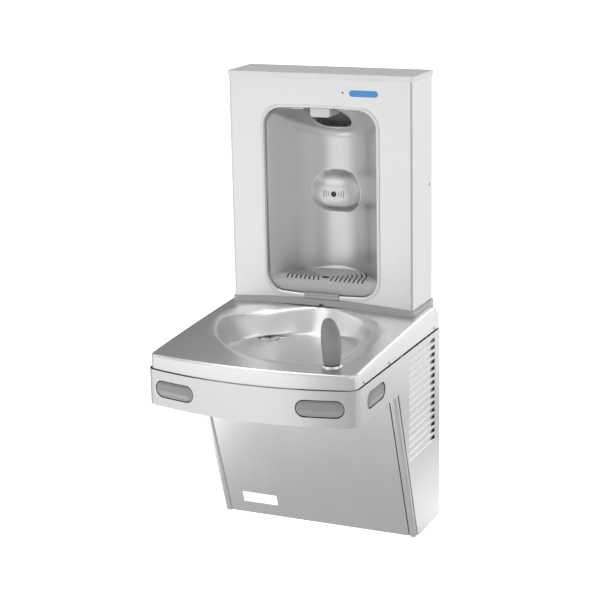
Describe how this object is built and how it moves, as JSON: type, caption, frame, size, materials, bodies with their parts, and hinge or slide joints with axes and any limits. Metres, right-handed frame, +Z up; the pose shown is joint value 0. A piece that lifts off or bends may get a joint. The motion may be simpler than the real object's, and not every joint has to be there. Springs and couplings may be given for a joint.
{
  "type": "drinking fountain",
  "caption": "Wall-hung drinking fountain with a bottle filling alcove above a steel basin, push pads and a sloped louvred cabinet.",
  "frame": {"origin": "centre of the wall hanger's bolt pattern, on the wall plane", "axes": "+Z up, front towards -Y, +X to the right of someone standing at the fountain"},
  "size_m": [0.477, 0.5389, 1.0198],
  "materials": {
    "steel_polished": "polished satin",
    "steel_satin": "fine satin",
    "steel_brushed": "brushed",
    "screw_steel": "bright",
    "spring_steel": "bright",
    "galvanised": "zinc coated",
    "compressor_black": "semi-gloss",
    "motor_grey": "satin",
    "box_grey": "satin",
    "aluminium_fins": "plain",
    "copper": "drawn copper",
    "brass": "machined",
    "chrome": "polished",
    "cap_grey": "fine texture",
    "adapter_grey": "fine texture",
    "pad_grey": "fine texture",
    "guard_rubber": "satin",
    "tray_grey": "fine texture",
    "nozzle_grey": "satin",
    "housing_dark": "satin",
    "black_plastic": "satin",
    "white_plastic": "satin",
    "fan_plastic": "satin",
    "foam_tank": "foam jacket",
    "tube_plastic": "translucent",
    "plate_white": "satin",
    "label_blue": "gloss",
    "lens_black": "gloss",
    "led_dark": "gloss",
    "rubber": "matte"
  },
  "bodies": {
    "cabinet": {"basin": "steel_polished", "drain_strainer": "steel_polished", "drain_nut": "white_plastic", "drain_trap": "chrome", "bubbler_base": "steel_polished", "bubbler_guard": "guard_rubber", "bubbler_spout": "chrome", "apron": "steel_satin", "pad_guides": "black_plastic", "pad_switches": "black_plastic", "pad_spring_front_left": "spring_steel", "pad_spring_front_right": "spring_steel", "pad_spring_side_left": "spring_steel", "pad_spring_side_right": "spring_steel", "basin_screws": "screw_steel", "side_panel_left": "steel_satin", "side_panel_right": "steel_satin", "front_panel": "steel_brushed", "corner_posts": "steel_satin", "nameplate": "plate_white", "back_panel": "galvanised", "bottom_pan": "galvanised", "wall_hanger": "galvanised", "power_inlet": "black_plastic", "compressor_grommets": "rubber", "compressor": "compressor_black", "chiller_tank": "foam_tank", "condenser": "aluminium_fins", "fan_shroud": "galvanised", "fan_motor": "motor_grey", "control_box": "box_grey", "inlet_union": "brass", "bubbler_valve": "white_plastic", "filler_valve": "white_plastic", "water_lines": "tube_plastic", "refrigerant_lines": "copper", "base_adapter": "adapter_grey", "filler_housing": "steel_satin", "filler_back_plate": "galvanised", "filler_front_panel": "steel_satin", "filler_cap": "cap_grey", "filler_screws": "screw_steel", "label_plate": "label_blue", "status_led": "led_dark", "alcove_liner": "steel_brushed", "nozzle_housing": "housing_dark", "nozzle_body": "nozzle_grey", "nozzle_outlet": "chrome", "sensor_lens": "lens_black", "sensor_module": "black_plastic", "drip_tray": "tray_grey", "tray_spout": "tray_grey"},
    "pad_front_left": {"push_pad_front_left": "pad_grey"},
    "pad_front_right": {"push_pad_front_right": "pad_grey"},
    "pad_side_left": {"push_pad_side_left": "pad_grey"},
    "pad_side_right": {"push_pad_side_right": "pad_grey"},
    "fan": {"fan_blade": "fan_plastic"},
    "dial": {"thermostat_dial": "black_plastic"}
  },
  "joints": [
    {"name": "push_front_right", "type": "slide", "parent": "cabinet", "child": "pad_front_right", "axis": [-0.2166, 0.9763, 0], "range_m": [0, 0.004], "stiffness_N_per_m": 900, "springref_m": -0.0015, "deforming": ["pad_spring_front_right"]},
    {"name": "push_front_left", "type": "slide", "parent": "cabinet", "child": "pad_front_left", "axis": [0.2166, 0.9763, 0], "range_m": [0, 0.004], "stiffness_N_per_m": 900, "springref_m": -0.0015, "deforming": ["pad_spring_front_left"]},
    {"name": "push_side_right", "type": "slide", "parent": "cabinet", "child": "pad_side_right", "axis": [-1, 0, 0], "range_m": [0, 0.004], "stiffness_N_per_m": 900, "springref_m": -0.0015, "deforming": ["pad_spring_side_right"]},
    {"name": "push_side_left", "type": "slide", "parent": "cabinet", "child": "pad_side_left", "axis": [1, 0, 0], "range_m": [0, 0.004], "stiffness_N_per_m": 900, "springref_m": -0.0015, "deforming": ["pad_spring_side_left"]},
    {"name": "fan_spin", "type": "hinge", "parent": "cabinet", "child": "fan", "pos_m": [0.176, -0.098, -0.2], "axis": [1, 0, 0], "continuous": true},
    {"name": "thermostat_turn", "type": "hinge", "parent": "cabinet", "child": "dial", "pos_m": [-0.16, -0.06, -0.155], "axis": [0, 1, 0], "range_deg": [-135, 135]}
  ]
}
